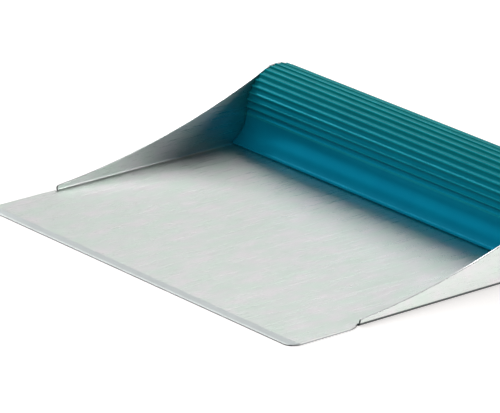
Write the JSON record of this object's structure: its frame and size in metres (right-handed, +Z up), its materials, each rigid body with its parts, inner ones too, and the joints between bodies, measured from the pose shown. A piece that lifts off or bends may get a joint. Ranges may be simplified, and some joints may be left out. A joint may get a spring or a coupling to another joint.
{
  "type": "bench scraper",
  "caption": "Flat steel bench scraper and scoop with raised side wings and a full-width ribbed soft grip across the back.",
  "frame": {"origin": "on the bench under the middle of the overall width and depth", "axes": "+X to the right along the blade's front edge, +Y from the front edge back to the grip, +Z up from the bench"},
  "size_m": [0.2056, 0.1726, 0.0331],
  "materials": {
    "brushed_stainless": "satin, brushed from front to back",
    "teal_grip": "satin soft-touch",
    "core_plastic": "matt moulded",
    "screw_steel": "bright turned"
  },
  "bodies": {
    "root": {"scoop": "brushed_stainless", "grip_sleeve": "teal_grip", "handle_core": "core_plastic", "end_plug_left": "core_plastic", "end_plug_right": "core_plastic", "wing_screw_left_front": "screw_steel", "wing_screw_left_rear": "screw_steel", "wing_screw_right_front": "screw_steel", "wing_screw_right_rear": "screw_steel"}
  },
  "joints": []
}
